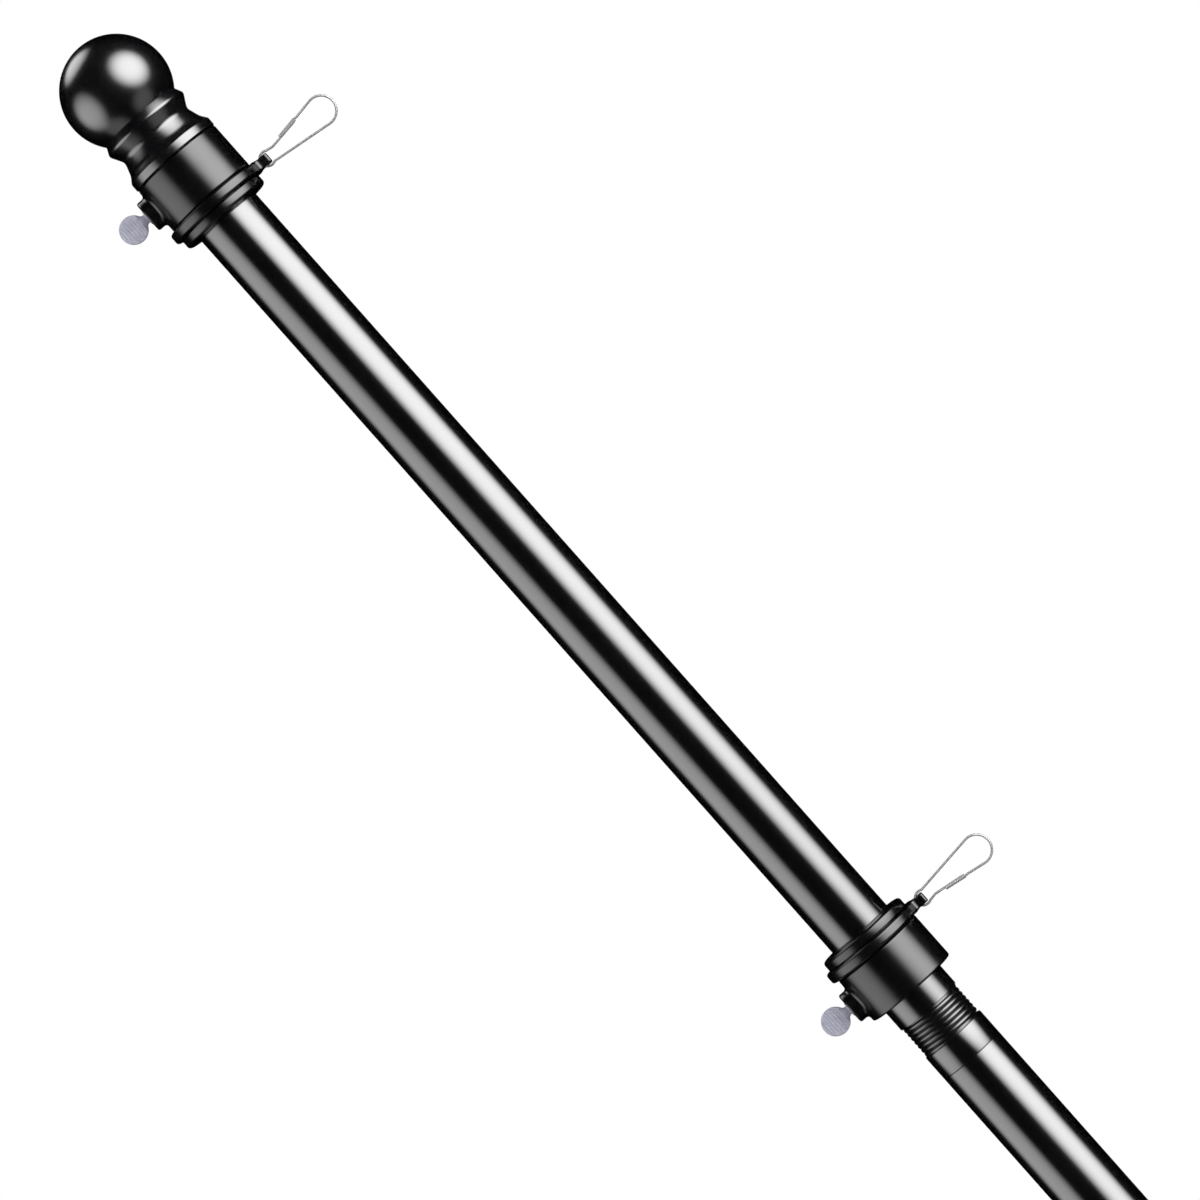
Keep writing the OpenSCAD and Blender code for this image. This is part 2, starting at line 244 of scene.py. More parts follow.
def rounded(corners):
    """A closed outline of (radius, height, rounding) corners, each rounded one drawn as a short arc."""
    points = []
    for number, (radius, height, rounding) in enumerate(corners):
        here = Vector((radius, height))
        before = Vector(corners[number - 1][:2]) - here
        after = Vector(corners[(number + 1) % len(corners)][:2]) - here
        if rounding == 0:
            points.append(here)
            continue
        half = before.angle(after) / 2
        centre = here + (before.normalized() + after.normalized()).normalized() * rounding / math.sin(half)
        start = here + before.normalized() * rounding / math.tan(half) - centre
        end = here + after.normalized() * rounding / math.tan(half) - centre
        turn = start.angle_signed(end)
        steps = max(3, round(abs(turn) / math.radians(16)))
        for step in range(steps + 1):
            points.append(centre + Matrix.Rotation(-turn * step / steps, 2) @ start)
    return points


def turned(name, outline, segments=144):
    """A solid of revolution about Z from a closed outline of (radius, height) points."""
    mesh = bpy.data.meshes.new(name)
    work = bmesh.new()
    rings = []
    for radius, height in outline:
        if radius < 1e-6:
            rings.append([work.verts.new((0, 0, height))] * segments)
            continue
        turns = [math.tau * step / segments for step in range(segments)]
        rings.append([work.verts.new((radius * math.cos(t), radius * math.sin(t), height)) for t in turns])
    for number, ring in enumerate(rings):
        after = rings[(number + 1) % len(rings)]
        for step in range(segments):
            beside = (step + 1) % segments
            corners = dict.fromkeys([ring[step], ring[beside], after[beside], after[step]])
            if len(corners) > 2:
                work.faces.new(corners)
    bmesh.ops.recalc_face_normals(work, faces=work.faces)
    work.to_mesh(mesh)
    work.free()
    return mesh


def set_down(name, mesh, place, finish, crisp=35):
    """Puts a mesh drawn in millimetres in its place, shaded smooth except across edges sharper than crisp."""
    mesh = mesh.copy()
    mesh.name = name
    mesh.transform(place)
    mesh.shade_smooth()
    mesh.set_sharp_from_angle(angle=math.radians(crisp))
    mesh.materials.clear()
    mesh.materials.append(finish)
    piece = bpy.data.objects.new(name, mesh)
    scene.collection.objects.link(piece)
    return piece


# Lacquer over drawn steel: deep black, with faint orange peel about 2 mm across and slightly uneven gloss.
lacquer, tree = blank_material("gloss_black_lacquer_on_steel_tube")
place = add(tree, "ShaderNodeTexCoord")
peel = add(tree, "ShaderNodeTexNoise", {"Vector": place.outputs["Object"], "Scale": 450.0, "Detail": 2.0})
patches = add(tree, "ShaderNodeTexNoise", {"Vector": place.outputs["Object"], "Scale": 35.0, "Detail": 3.0})
rough = add(tree, "ShaderNodeMapRange", {"Value": patches.outputs[0], "From Min": 0.3, "From Max": 0.7,
                                         "To Min": 0.17, "To Max": 0.21})
bump = add(tree, "ShaderNodeBump", {"Height": peel.outputs[0], "Strength": 0.12, "Distance": 0.00004})
shader = add(tree, "ShaderNodeBsdfPrincipled", {
    "Base Color": linear("#060607"), "Roughness": rough.outputs[0], "IOR": 1.56, "Normal": bump.outputs[0],
    "Coat Weight": 1.0, "Coat Roughness": 0.1, "Coat IOR": 1.6})
add(tree, "ShaderNodeOutputMaterial", {"Surface": shader.outputs[0]})

tube_bore = pole_radius - 0.8
for number in range(1, 5):
    node = f"tube_{number}"
    foot, head = reach(node, pole_radius)
    wall = rounded([
        (pole_radius, foot, 0.25), (pole_radius, head, 0.25), (tube_bore, head, 0.2), (tube_bore, foot, 0.2)])
    piece = set_down(f"tube_section_{number}", turned(node, wall), lean, lacquer)
    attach(piece, "mast")
    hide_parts(node)

spigot_radius = tube_bore - 0.05
collar_mouth, collar_bore = 11.3, 11.05
collar_depth = 17
for number in range(1, 4):
    node = f"collar_{number}"
    foot = reach(f"tube_{number}", pole_radius)[1]
    head = reach(node, pole_radius)[1]
    wall = rounded([
        (pole_radius, foot, 0.22), (pole_radius, head, 0.45), (collar_mouth, head, 0.2),
        (collar_bore, head - 1, 0), (collar_bore, foot - collar_depth, 0.2),
        (spigot_radius, foot - collar_depth, 0.3), (spigot_radius, foot, 0)])
    piece = set_down(f"joint_collar_{number}", turned(node, wall), lean, lacquer)
    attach(piece, "mast")
    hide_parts(node)


# ---- Screw threads ----
# The upper three sections end in a cut thread. Each is left a few turns out of its collar, so that the
# crests show as fine bright lines with dark roots between them.

def thread_tree():
    """A Geometry Nodes tree that winds one thread crest about Z."""
    tree = bpy.data.node_groups.new("screw_thread", "GeometryNodeTree")
    for name in ("Core Radius", "Depth", "Pitch", "Turns"):
        tree.interface.new_socket(name, in_out="INPUT", socket_type="NodeSocketFloat")
    tree.interface.new_socket("Finish", in_out="INPUT", socket_type="NodeSocketMaterial")
    tree.interface.new_socket("Geometry", in_out="OUTPUT", socket_type="NodeSocketGeometry")
    given = add(tree, "NodeGroupInput").outputs
    length = add(tree, "ShaderNodeMath", {0: given["Pitch"], 1: given["Turns"]}, operation="MULTIPLY")
    coil = add(tree, "GeometryNodeCurveSpiral", {
        "Resolution": 96, "Rotations": given["Turns"], "Start Radius": given["Core Radius"],
        "End Radius": given["Core Radius"], "Height": length.outputs[0]})
    upright = add(tree, "GeometryNodeSetCurveNormal", {"Curve": coil.outputs[0]}, mode="Z_UP")
    width = add(tree, "ShaderNodeMath", {0: given["Pitch"], 1: 0.5}, operation="MULTIPLY")
    height = add(tree, "ShaderNodeMath", {0: given["Depth"], 1: 1.05}, operation="MULTIPLY")
    crest = add(tree, "GeometryNodeCurvePrimitiveCircle", {"Resolution": 10, "Radius": 1.0}, mode="RADIUS")
    flat = add(tree, "ShaderNodeCombineXYZ", {0: width.outputs[0], 1: height.outputs[0], 2: 1.0})
    shaped = add(tree, "GeometryNodeTransform", {"Geometry": crest.outputs[0], "Scale": flat.outputs[0]})
    swept = add(tree, "GeometryNodeCurveToMesh", {
        "Curve": upright.outputs[0], "Profile Curve": shaped.outputs[0], "Fill Caps": True})
    real = add(tree, "GeometryNodeRealizeInstances", {0: swept.outputs[0]})
    dressed = add(tree, "GeometryNodeSetMaterial", {"Geometry": real.outputs[0], "Material": given["Finish"]})
    add(tree, "NodeGroupOutput", {0: dressed.outputs[0]})
    return tree


def grown(name, tree, values):
    """The plain mesh that a Geometry Nodes tree makes from these input values."""
    holder = bpy.data.objects.new(name, bpy.data.meshes.new(name))
    scene.collection.objects.link(holder)
    modifier = holder.modifiers.new(name, "NODES")
    modifier.node_group = tree
    for socket in tree.interface.items_tree:
        if socket.in_out == "INPUT" and socket.name in values:
            modifier[socket.identifier] = values[socket.name]
    evaluated = holder.evaluated_get(bpy.context.evaluated_depsgraph_get())
    mesh = bpy.data.meshes.new_from_object(evaluated)
    bpy.data.objects.remove(holder)
    return mesh


def joined(name, meshes):
    """Several meshes as one."""
    work = bmesh.new()
    for mesh in meshes:
        work.from_mesh(mesh)
    bmesh.ops.recalc_face_normals(work, faces=work.faces)
    result = bpy.data.meshes.new(name)
    work.to_mesh(result)
    work.free()
    return result


# Cut and blackened steel: black, a little duller than the lacquer, with a grain about 0.4 mm across.
blackened, tree = blank_material("blackened_cut_steel_thread")
place = add(tree, "ShaderNodeTexCoord")
grain = add(tree, "ShaderNodeTexNoise", {"Vector": place.outputs["Object"], "Scale": 2500.0, "Detail": 2.0})
bump = add(tree, "ShaderNodeBump", {"Height": grain.outputs[0], "Strength": 0.15, "Distance": 0.00003})
shader = add(tree, "ShaderNodeBsdfPrincipled", {
    "Base Color": linear("#070708"), "Roughness": 0.24, "IOR": 1.6, "Normal": bump.outputs[0],
    "Coat Weight": 0.5, "Coat Roughness": 0.15, "Coat IOR": 1.5})
add(tree, "ShaderNodeOutputMaterial", {"Surface": shader.outputs[0]})

winding = thread_tree()
thread_depth = 1.0
thread_outer = 12.35
thread_inside, thread_above = 16, 14
thread_bore = 9
crests = 7
for number in range(1, 4):
    node = f"thread_{number}"
    foot = reach(f"collar_{number}", pole_radius)[1]
    head = reach(f"tube_{number + 1}", pole_radius)[0]
    pitch = (head - foot) / crests
    core = thread_outer - thread_depth
    barrel = turned(node, rounded([
        (core, foot - thread_inside, 0.3), (core, head - 0.1, 0), (core + 0.1, head + thread_above, 0.3),
        (thread_bore, head + thread_above, 0.3), (thread_bore, foot - thread_inside, 0.3)]))
    crest = grown(node, winding, {
        "Core Radius": core, "Depth": thread_depth, "Pitch": pitch, "Turns": crests - 0.2,
        "Finish": blackened})
    crest.transform(Matrix.Translation((0, 0, foot + 0.1 * pitch)))
    piece = set_down(f"screw_thread_{number}", joined(node, [barrel, crest]), lean, blackened, crisp=50)
    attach(piece, "mast")
    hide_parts(node)


# ---- Finial ----
# A ball on a waisted neck with one bead, lacquered black. A plain spigot under it fills the end of the
# top tube.

def arc(centre, radius, start, end, steps):
    """Points along a circle in the outline's plane, from one angle to another."""
    turns = [math.radians(start + (end - start) * step / steps) for step in range(steps + 1)]
    return [Vector((centre[0] + radius * math.cos(t), centre[1] + radius * math.sin(t))) for t in turns]


# Lacquered moulding: deep black under a clear coat, with a slightly softer shine than the tubes.
ball_gloss, tree = blank_material("polished_black_lacquer_on_moulded_ball")
place = add(tree, "ShaderNodeTexCoord")
ripple = add(tree, "ShaderNodeTexNoise", {"Vector": place.outputs["Object"], "Scale": 160.0, "Detail": 1.0})
bump = add(tree, "ShaderNodeBump", {"Height": ripple.outputs[0], "Strength": 0.06, "Distance": 0.00005})
shader = add(tree, "ShaderNodeBsdfPrincipled", {
    "Base Color": linear("#060607"), "Roughness": 0.25, "IOR": 1.55, "Normal": bump.outputs[0],
    "Coat Weight": 1.0, "Coat Roughness": 0.13, "Coat IOR": 1.62})
add(tree, "ShaderNodeOutputMaterial", {"Surface": shader.outputs[0]})

ball_radius = 20.2
base_radius = 17.9
plug_radius, plug_depth = 11.8, 14
seat_height = 18.9
meeting = math.degrees(math.asin((seat_height - ball_height) / ball_radius))
neck = rounded([
    (0, -plug_depth, 0), (plug_radius, -plug_depth, 0.6), (plug_radius, 0.05, 0), (base_radius, 0.05, 0.25),
    (base_radius, 3.1, 0.9), (16.1, 5.6, 6), (14.5, 10.6, 2.6), (17.3, 15.6, 1.5), (15.75, seat_height, 0)])
profile = neck + arc((0, ball_height), ball_radius, meeting, 90, 60)
profile = [point + Vector((0, pole_top)) for point in profile]
profile[-1].x = 0
piece = set_down("ball_finial", turned("ball_finial", profile, 192), lean, ball_gloss, crisp=30)
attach(piece, "mast")
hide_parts("finial")


# ---- Flag rings ----
# Each ring is three black nylon mouldings: a sleeve with a screw boss on its side, a turning ring with an
# arm, and a cap over them. The upper one is fitted upside down, with its sleeve against the finial.

def mould(name, shape, low, high, step):
    """Skins the solid where shape(x, y, z) is below zero with even quads, drawn onto its true surface."""
    axes = [np.arange(a - 2 * step, b + 3 * step, step) for a, b in zip(low, high)]
    grid = np.meshgrid(*axes, indexing="ij", sparse=True)
    gaps = np.broadcast_to(shape(*grid), [len(a) for a in axes])
    solid = gaps < 0
    corners = [(i, j, k) for i in (0, 1) for j in (0, 1) for k in (0, 1)]

    def seen_from(values, corner):
        return values[tuple(slice(at, at + size - 1) for at, size in zip(corner, values.shape))]

    filled = sum(seen_from(solid, corner).astype(np.int8) for corner in corners)
    skin = (filled > 0) & (filled < 8)
    cells = np.argwhere(skin)
    number = np.zeros(skin.shape, int)
    number[skin] = np.arange(len(cells))
    total, hits = np.zeros((len(cells), 3)), np.zeros(len(cells))
    for axis in range(3):
        for corner in (c for c in corners if c[axis] == 0):
            far = tuple(c + (place == axis) for place, c in enumerate(corner))
            here, there = seen_from(gaps, corner)[skin], seen_from(gaps, far)[skin]
            crossed = (here < 0) != (there < 0)
            share = np.where(crossed, here / np.where(crossed, here - there, 1), 0)
            point = np.tile(np.array(corner, float), (len(cells), 1))
            point[:, axis] += share
            total += point * crossed[:, None]
            hits += crossed
    spots = np.array([a[0] for a in axes]) + (cells + total / hits[:, None]) * step
    nudge = step * 0.05
    for _ in range(3):
        gap = shape(*spots.T)
        beside = [shape(*(spots + nudge * np.eye(3)[axis]).T) for axis in range(3)]
        slope = np.stack([(value - gap) / nudge for value in beside], 1)
        pull = np.clip(gap, -step / 2, step / 2) / np.maximum((slope ** 2).sum(1), 0.2)
        spots -= slope * pull[:, None]
    faces = []
    for axis in range(3):
        one, two = (axis + 1) % 3, (axis + 2) % 3
        edges = np.argwhere(np.diff(solid.astype(np.int8), axis=axis))
        edges = edges[(edges[:, one] > 0) & (edges[:, two] > 0)]
        step_one, step_two = np.eye(3, dtype=int)[one], np.eye(3, dtype=int)[two]
        around = [edges, edges - step_one, edges - step_one - step_two, edges - step_two]
        quads = np.stack([number[tuple(cell.T)] for cell in around], 1)
        outwards = solid[tuple(edges.T)]
        faces.append(np.where(outwards[:, None], quads, quads[:, ::-1]))
    mesh = bpy.data.meshes.new(name)
    mesh.from_pydata(spots.tolist(), [], np.concatenate(faces).tolist())
    return mesh


def blend_in(a, b, fillet):
    """Joins two solids with a fillet of about that size."""
    mix = np.maximum(fillet - np.abs(a - b), 0) / fillet
    return np.minimum(a, b) - mix * mix * fillet / 4


def keep_in(a, b, edge):
    """What two solids share, with the edges between them eased by about that size."""
    return -blend_in(-a, -b, edge)


def rod(off_axis, along, radius, start, end, edge):
    """A round bar with eased rims, from the distance off its axis and the place along it."""
    side = off_axis - radius + edge
    rim = np.abs(along - (start + end) / 2) - (end - start) / 2 + edge
    return np.hypot(np.maximum(side, 0), np.maximum(rim, 0)) + np.minimum(np.maximum(side, rim), 0) - edge


ring_radius = 17.7
sleeve_height = 18.8
slip = 0.3
swivel_height = 4.0
swivel_radius = 19.7
cap_height = 3.6
pole_bore = 12.78
hub_radius = 14.6
boss_height = sleeve_height * 0.47
boss_radius = 6.1
boss_face = ring_radius + 3.6
screw_hole = 3.2
arm_height = sleeve_height + slip + swivel_height / 2
arm_reach = 24.8
arm_root = 14
eye_radius = 1.5
eye_rim = 1.7
eye_place = arm_reach - eye_rim - eye_radius
arm_side = 3.2
arm_corner = 1.1
arm_half = 1.85


def sleeve_shape(x, y, z):
    """The sleeve, its thin inner neck under the turning ring, and the boss with a flared root."""
    off_axis = np.hypot(x, y)
    body = rod(off_axis, z, ring_radius, 0, sleeve_height, 0.7)
    neck = rod(off_axis, z, hub_radius, 1, sleeve_height + 2 * slip + swivel_height, 0.3)
    boss = rod(np.hypot(x, z - boss_height), -y, boss_radius, 8, boss_face, 0.8)
    whole = blend_in(np.minimum(body, neck), boss, 1.3)
    whole = keep_in(whole, pole_bore - off_axis, 0.4)
    off_screw = np.hypot(x, np.hypot(z - boss_height, np.minimum(-y, 0) * 9))
    return keep_in(whole, screw_hole - off_screw, 0.3)


def swivel_shape(x, y, z):
    """The turning ring with its arm, whose end has an upright eye for the clip."""
    off_axis = np.hypot(x, y)
    band = rod(off_axis, z, swivel_radius, -swivel_height / 2, swivel_height / 2, 0.9)
    past_side = np.maximum(np.abs(x) - arm_side + arm_corner, 0)
    past_end = np.maximum(y - arm_reach + arm_corner, 0)
    past_outline = np.hypot(past_side, past_end) + np.maximum(arm_root - y, 0)
    arm = rod(past_outline, z, arm_corner, -arm_half, arm_half, 0.5)
    whole = blend_in(band, arm, 1.6)
    whole = keep_in(whole, hub_radius + 0.05 - off_axis, 0.4)
    return keep_in(whole, eye_radius - np.hypot(x, y - eye_place), 0.5)


# Moulded nylon: black, softly glossy, with a fine even texture from the mould about 0.4 mm across.
nylon, tree = blank_material("moulded_black_nylon")
place = add(tree, "ShaderNodeTexCoord")
grain = add(tree, "ShaderNodeTexNoise", {"Vector": place.outputs["Object"], "Scale": 2200.0, "Detail": 2.0})
flow = add(tree, "ShaderNodeTexNoise", {"Vector": place.outputs["Object"], "Scale": 120.0, "Detail": 2.0})
rough = add(tree, "ShaderNodeMapRange", {"Value": flow.outputs[0], "From Min": 0.3, "From Max": 0.7,
                                         "To Min": 0.17, "To Max": 0.22})
bump = add(tree, "ShaderNodeBump", {"Height": grain.outputs[0], "Strength": 0.1, "Distance": 0.00003})
shader = add(tree, "ShaderNodeBsdfPrincipled", {
    "Base Color": linear("#060607"), "Roughness": rough.outputs[0], "IOR": 1.54, "Normal": bump.outputs[0]})
add(tree, "ShaderNodeOutputMaterial", {"Surface": shader.outputs[0]})

sleeve_mesh = mould("sleeve", sleeve_shape, (-18, -22, 0), (18, 18, 24), 0.33)
swivel_mesh = mould("swivel", swivel_shape, (-20, -20, -2), (20, 25, 2), 0.3)
cap_mesh = turned("cap", rounded([
    (pole_bore, 0, 0.3), (ring_radius, 0, 0.4), (ring_radius, cap_height, 1.2),
    (16.2, cap_height, 0.3), (15.9, cap_height - 0.25, 0.1), (pole_bore, cap_height - 0.25, 0.4)]))

ring_places = {}
for which, flip in (("upper", -1), ("lower", 1)):
    foot = along_pole(f"{which}_ring_turn") - flip * arm_height
    turn_over = Matrix.Rotation(math.pi if flip < 0 else 0, 4, "Y")
    ring_places[which] = lean @ Matrix.Translation((0, 0, foot)) @ turn_over
    at_arm = ring_places[which] @ Matrix.Translation((0, 0, arm_height))
    at_cap = at_arm @ Matrix.Translation((0, 0, swivel_height / 2 + slip))
    for part, mesh, place, body in (
        ("sleeve", sleeve_mesh, ring_places[which], "ring"),
        ("swivel", swivel_mesh, at_arm, "turning_ring"),
        ("cap", cap_mesh, at_cap, "ring"),
    ):
        piece = set_down(f"{which}_ring_{part}", mesh, place, nylon)
        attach(piece, f"{which}_{body}")
        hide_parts(f"{which}_{part}")


# ---- Thumb screws ----
# A lilac-grey nylon screw in the boss of each ring. Its head is a round paddle with four grip ribs across
# it, on a short neck.

def paddle_shape(x, y, z):
    """The paddle stands in the plane x = 0, and z runs outwards along the screw."""
    disc = rod(np.hypot(y, z - paddle_centre), x, paddle_radius, -paddle_half, paddle_half, 0.5)
    waist = rod(np.hypot(x, y), z, 1.8, boss_face - 1, boss_face + 3, 0.3)
    shank = rod(np.hypot(x, y), z, 2.95, 13.2, boss_face + 0.3, 0.3)
    return np.minimum(blend_in(disc, waist, 0.9), shank)


def rib_tree():
    """A Geometry Nodes tree that lays ribs side by side, each as long as the round paddle is there."""
    tree = bpy.data.node_groups.new("grip_ribs", "GeometryNodeTree")
    tree.interface.new_socket("Count", in_out="INPUT", socket_type="NodeSocketInt")
    for name in ("Spacing", "Paddle Radius", "Rib Width", "Stand Off"):
        tree.interface.new_socket(name, in_out="INPUT", socket_type="NodeSocketFloat")
    tree.interface.new_socket("Finish", in_out="INPUT", socket_type="NodeSocketMaterial")
    tree.interface.new_socket("Geometry", in_out="OUTPUT", socket_type="NodeSocketGeometry")
    given = add(tree, "NodeGroupInput").outputs
    gaps = add(tree, "ShaderNodeMath", {0: given["Count"], 1: -1.0}, operation="ADD")
    span = add(tree, "ShaderNodeMath", {0: gaps.outputs[0], 1: given["Spacing"]}, operation="MULTIPLY")
    first = add(tree, "ShaderNodeMath", {0: span.outputs[0], 1: -0.5}, operation="MULTIPLY")
    start = add(tree, "ShaderNodeCombineXYZ", {2: first.outputs[0]})
    pace = add(tree, "ShaderNodeCombineXYZ", {2: given["Spacing"]})
    row = add(tree, "GeometryNodeMeshLine", {"Count": given["Count"], "Start Location": start.outputs[0],
                                             "Offset": pace.outputs[0]})
    spot = add(tree, "GeometryNodeInputPosition")
    height = add(tree, "ShaderNodeSeparateXYZ", {0: spot.outputs[0]})
    squared = add(tree, "ShaderNodeMath", {0: height.outputs["Z"], 1: height.outputs["Z"]},
                  operation="MULTIPLY")
    radius = add(tree, "ShaderNodeMath", {0: given["Paddle Radius"], 1: given["Paddle Radius"]},
                 operation="MULTIPLY")
    left = add(tree, "ShaderNodeMath", {0: radius.outputs[0], 1: squared.outputs[0]}, operation="SUBTRACT")
    half = add(tree, "ShaderNodeMath", {0: left.outputs[0]}, operation="SQRT")
    stretch = add(tree, "ShaderNodeCombineXYZ", {
        0: given["Rib Width"], 1: half.outputs[0], 2: given["Rib Width"]})
    bead = add(tree, "GeometryNodeMeshUVSphere", {"Segments": 20, "Rings": 14, "Radius": 1.0})
    ribs = add(tree, "GeometryNodeInstanceOnPoints", {
        "Points": row.outputs[0], "Instance": bead.outputs[0], "Scale": stretch.outputs[0]})
    both = add(tree, "GeometryNodeJoinGeometry")
    for side in (-1, 1):
        shift = add(tree, "ShaderNodeMath", {0: given["Stand Off"], 1: float(side)}, operation="MULTIPLY")
        aside = add(tree, "ShaderNodeCombineXYZ", {0: shift.outputs[0]})
        moved = add(tree, "GeometryNodeTransform", {
            "Geometry": ribs.outputs[0], "Translation": aside.outputs[0]})
        tree.links.new(moved.outputs[0], both.inputs[0])
    real = add(tree, "GeometryNodeRealizeInstances", {0: both.outputs[0]})
    smooth = add(tree, "GeometryNodeSetShadeSmooth", {0: real.outputs[0]})
    dressed = add(tree, "GeometryNodeSetMaterial", {
        "Geometry": smooth.outputs[0], "Material": given["Finish"]})
    add(tree, "NodeGroupOutput", {0: dressed.outputs[0]})
    return tree


# Filled nylon: opaque lilac grey, satin, with faint clouding from the filler.
lilac, tree = blank_material("moulded_lilac_grey_nylon")
place = add(tree, "ShaderNodeTexCoord")
cloud = add(tree, "ShaderNodeTexNoise", {"Vector": place.outputs["Object"], "Scale": 200.0, "Detail": 2.0})
ramp = add(tree, "ShaderNodeValToRGB", {0: cloud.outputs[0]})
ramp.color_ramp.elements[0].position = 0.35
ramp.color_ramp.elements[0].color = linear("#8d8d9b")
ramp.color_ramp.elements[1].position = 0.65
ramp.color_ramp.elements[1].color = linear("#9c9caa")
bump = add(tree, "ShaderNodeBump", {"Height": cloud.outputs[0], "Strength": 0.05, "Distance": 0.00003})
shader = add(tree, "ShaderNodeBsdfPrincipled", {
    "Base Color": ramp.outputs[0], "Roughness": 0.5, "IOR": 1.5, "Normal": bump.outputs[0]})
add(tree, "ShaderNodeOutputMaterial", {"Surface": shader.outputs[0]})

paddle_radius = 5.2
paddle_half = 1.1
paddle_centre = boss_face + 6.5
paddle = mould("paddle", paddle_shape, (-4, -6, 13), (4, 6, paddle_centre + 6), 0.22)
ribs = grown("ribs", rib_tree(), {"Count": 4, "Spacing": 2.3, "Paddle Radius": 5.0, "Rib Width": 0.5,
                                  "Stand Off": paddle_half, "Finish": lilac})
ribs.transform(Matrix.Translation((0, 0, paddle_centre)))
thumb_screw = joined("thumb_screw", [paddle, ribs])
for which in ("upper", "lower"):
    place = (ring_places[which] @ Matrix.Translation((0, 0, boss_height))
             @ Matrix.Rotation(math.pi / 2, 4, "X"))
    piece = set_down(f"{which}_paddle_screw", thumb_screw, place, lilac, crisp=60)
    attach(piece, f"{which}_paddle_screw")
    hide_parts(f"{which}_thumb_screw")


# ---- Snap clips ----
# A teardrop of flattened spring-steel wire through the eye of each arm. Its two ends overlap on one leg,
# under a short latch that makes the gate.

wire_thick = 0.9
wire_wide = 1.3
pivot_place = arm_reach - eye_rim / 2
clip_length = 31.0
curl_radius = 2.75
far_radius = 5.4
far_place = clip_length - far_radius - wire_thick / 2
neck_turn = math.radians(60)
neck_run = 1.5
neck_spot = Vector((curl_radius * math.cos(neck_turn) + neck_run * math.sin(neck_turn),
                    curl_radius * math.sin(neck_turn) - neck_run * math.cos(neck_turn)))
lean_out = (math.asin(far_radius / math.hypot(far_place - neck_spot.x, neck_spot.y))
            - math.atan2(neck_spot.y, far_place - neck_spot.x))
leg_way = Vector((math.cos(lean_out), -math.sin(lean_out)))
latch_start, latch_end = 5.9, 13.4
latch_thick, latch_wide = 1.5, 1.75
leg_start = Vector((neck_spot.x, -neck_spot.y))


def wire_tree():
    """A Geometry Nodes tree that sweeps a flattened wire section along an open line."""
    tree = bpy.data.node_groups.new("flat_wire", "GeometryNodeTree")
    tree.interface.new_socket("Line", in_out="INPUT", socket_type="NodeSocketObject")
    for name in ("Thick", "Wide"):
        tree.interface.new_socket(name, in_out="INPUT", socket_type="NodeSocketFloat")
    tree.interface.new_socket("Finish", in_out="INPUT", socket_type="NodeSocketMaterial")
    tree.interface.new_socket("Geometry", in_out="OUTPUT", socket_type="NodeSocketGeometry")
    given = add(tree, "NodeGroupInput").outputs
    line = add(tree, "GeometryNodeObjectInfo", {"Object": given["Line"]})
    curve = add(tree, "GeometryNodeMeshToCurve", {0: line.outputs["Geometry"]})
    upright = add(tree, "GeometryNodeSetCurveNormal", {"Curve": curve.outputs[0]}, mode="Z_UP")
    section = add(tree, "GeometryNodeCurvePrimitiveCircle", {"Resolution": 14, "Radius": 0.5}, mode="RADIUS")
    flat = add(tree, "ShaderNodeCombineXYZ", {0: given["Thick"], 1: given["Wide"], 2: 1.0})
    shaped = add(tree, "GeometryNodeTransform", {"Geometry": section.outputs[0], "Scale": flat.outputs[0]})
    swept = add(tree, "GeometryNodeCurveToMesh", {
        "Curve": upright.outputs[0], "Profile Curve": shaped.outputs[0], "Fill Caps": True})
    real = add(tree, "GeometryNodeRealizeInstances", {0: swept.outputs[0]})
    smooth = add(tree, "GeometryNodeSetShadeSmooth", {0: real.outputs[0]})
    dressed = add(tree, "GeometryNodeSetMaterial", {
        "Geometry": smooth.outputs[0], "Material": given["Finish"]})
    add(tree, "NodeGroupOutput", {0: dressed.outputs[0]})
    return tree


def polyline(name, points):
    """An open line through these flat points, as an object that a tree can read."""
    mesh = bpy.data.meshes.new(name)
    mesh.from_pydata([(p.x, p.y, 0) for p in points], [(n, n + 1) for n in range(len(points) - 1)], [])
    line = bpy.data.objects.new(name, mesh)
    scene.collection.objects.link(line)
    return line


def along_leg(distance, outwards=0.0):
    """A point beside the latch leg, at a distance from the neck."""
    return leg_start + leg_way * distance + Vector((leg_way.y, -leg_way.x)) * outwards


# Spring steel: neutral grey drawn wire, satin, with a shine that varies a little every 4 mm or so.
spring, tree = blank_material("bright_drawn_spring_steel_wire")
place = add(tree, "ShaderNodeTexCoord")
draw = add(tree, "ShaderNodeTexNoise", {"Vector": place.outputs["Object"], "Scale": 250.0, "Detail": 2.0})
rough = add(tree, "ShaderNodeMapRange", {"Value": draw.outputs[0], "From Min": 0.3, "From Max": 0.7,
                                         "To Min": 0.38, "To Max": 0.46})
bump = add(tree, "ShaderNodeBump", {"Height": draw.outputs[0], "Strength": 0.05, "Distance": 0.00003})
shader = add(tree, "ShaderNodeBsdfPrincipled", {
    "Base Color": linear("#acacae"), "Metallic": 0.6, "Roughness": rough.outputs[0],
    "Normal": bump.outputs[0]})
add(tree, "ShaderNodeOutputMaterial", {"Surface": shader.outputs[0]})

